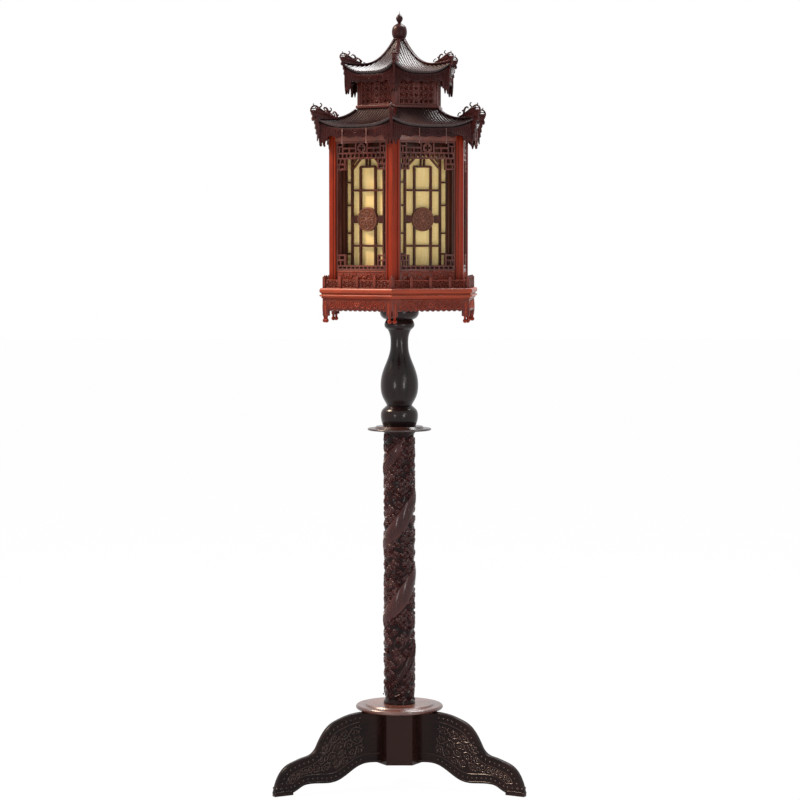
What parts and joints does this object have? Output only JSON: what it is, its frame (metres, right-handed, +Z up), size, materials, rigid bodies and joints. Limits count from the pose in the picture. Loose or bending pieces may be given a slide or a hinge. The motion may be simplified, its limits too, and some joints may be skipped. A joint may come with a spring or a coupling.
{
  "type": "lantern floor lamp",
  "caption": "Carved hardwood floor lamp: a six-sided palace lantern with fretwork and a double curved roof on a carved column with scrolled legs.",
  "frame": {"origin": "where the axis of the column meets the floor", "axes": "+Z up along the column; the front, between two legs, looks along -Y; the rear leg points along +Y"},
  "size_m": [0.5918, 0.5635, 1.83],
  "materials": {
    "stand_rosewood": "dark stained rosewood, gloss varnish",
    "turned_rosewood": "turned dark rosewood, gloss varnish",
    "carved_column_wood": "carved dark rosewood, satin varnish",
    "lantern_rosewood": "red rosewood, gloss varnish",
    "roof_wood": "dark stained rosewood, satin varnish",
    "plain_hardwood": "oiled hardwood",
    "zinc_steel": "zinc plated steel",
    "black_plastic": "moulded phenolic",
    "nickel_cap": "spun thread",
    "bulb_glass": "frosted glass",
    "lining_silk": "ribbed cream silk"
  },
  "bodies": {
    "stand": {"leg_left": "stand_rosewood", "leg_rear": "stand_rosewood", "leg_right": "stand_rosewood", "leg_soles": "stand_rosewood", "leg_dowels": "plain_hardwood", "leg_hub": "stand_rosewood", "base_disc": "turned_rosewood", "carved_column": "carved_column_wood", "cap_disc": "turned_rosewood", "baluster": "turned_rosewood", "lantern_cup": "turned_rosewood", "threaded_tube": "zinc_steel", "tube_nuts": "zinc_steel", "tube_washers": "zinc_steel", "cable_grommet": "black_plastic", "lampholder_cap": "black_plastic", "lampholder_shell": "black_plastic"},
    "bulb": {"bulb_cap": "nickel_cap", "bulb_glass": "bulb_glass"},
    "roof": {"roof_frame": "plain_hardwood", "lower_roof": "roof_wood", "lower_ridges": "roof_wood", "lower_valances": "roof_wood", "lower_heads": "roof_wood", "hip_rafters": "plain_hardwood", "drum_ledge": "lantern_rosewood", "drum_posts": "lantern_rosewood", "drum_panels": "lantern_rosewood", "drum_ring": "plain_hardwood", "upper_roof": "roof_wood", "upper_ridges": "roof_wood", "upper_valances": "roof_wood", "upper_heads": "roof_wood", "apex_block": "plain_hardwood", "roof_collar": "turned_rosewood", "finial": "turned_rosewood"},
    "lantern": {"apron_drops": "lantern_rosewood", "aprons": "lantern_rosewood", "body_posts": "lantern_rosewood", "ceiling_ring": "plain_hardwood", "fabric_lining": "lining_silk", "floor_board": "plain_hardwood", "fret_panel_1": "lantern_rosewood", "fret_panel_2": "lantern_rosewood", "fret_panel_3": "lantern_rosewood", "fret_panel_4": "lantern_rosewood", "fret_panel_5": "lantern_rosewood", "fret_panel_6": "lantern_rosewood", "lattice_screen_1": "lantern_rosewood", "lattice_screen_2": "lantern_rosewood", "lattice_screen_3": "lantern_rosewood", "lattice_screen_4": "lantern_rosewood", "lattice_screen_5": "lantern_rosewood", "lattice_screen_6": "lantern_rosewood", "railing_panels": "lantern_rosewood", "railing_posts": "lantern_rosewood", "screen_posts": "lantern_rosewood", "skirt_panels": "lantern_rosewood", "top_beams": "lantern_rosewood", "tray_rails": "lantern_rosewood"}
  },
  "joints": [
    {"name": "lantern_turn", "type": "hinge", "parent": "stand", "child": "lantern", "pos_m": [0, 0, 1.164], "axis": [0, 0, 1], "continuous": true},
    {"name": "roof_lift", "type": "slide", "parent": "lantern", "child": "roof", "axis": [0, 0, 1], "range_m": [0, 0.08]},
    {"name": "bulb_out", "type": "slide", "parent": "stand", "child": "bulb", "axis": [0, 0, 1], "range_m": [0, 0.035]}
  ]
}
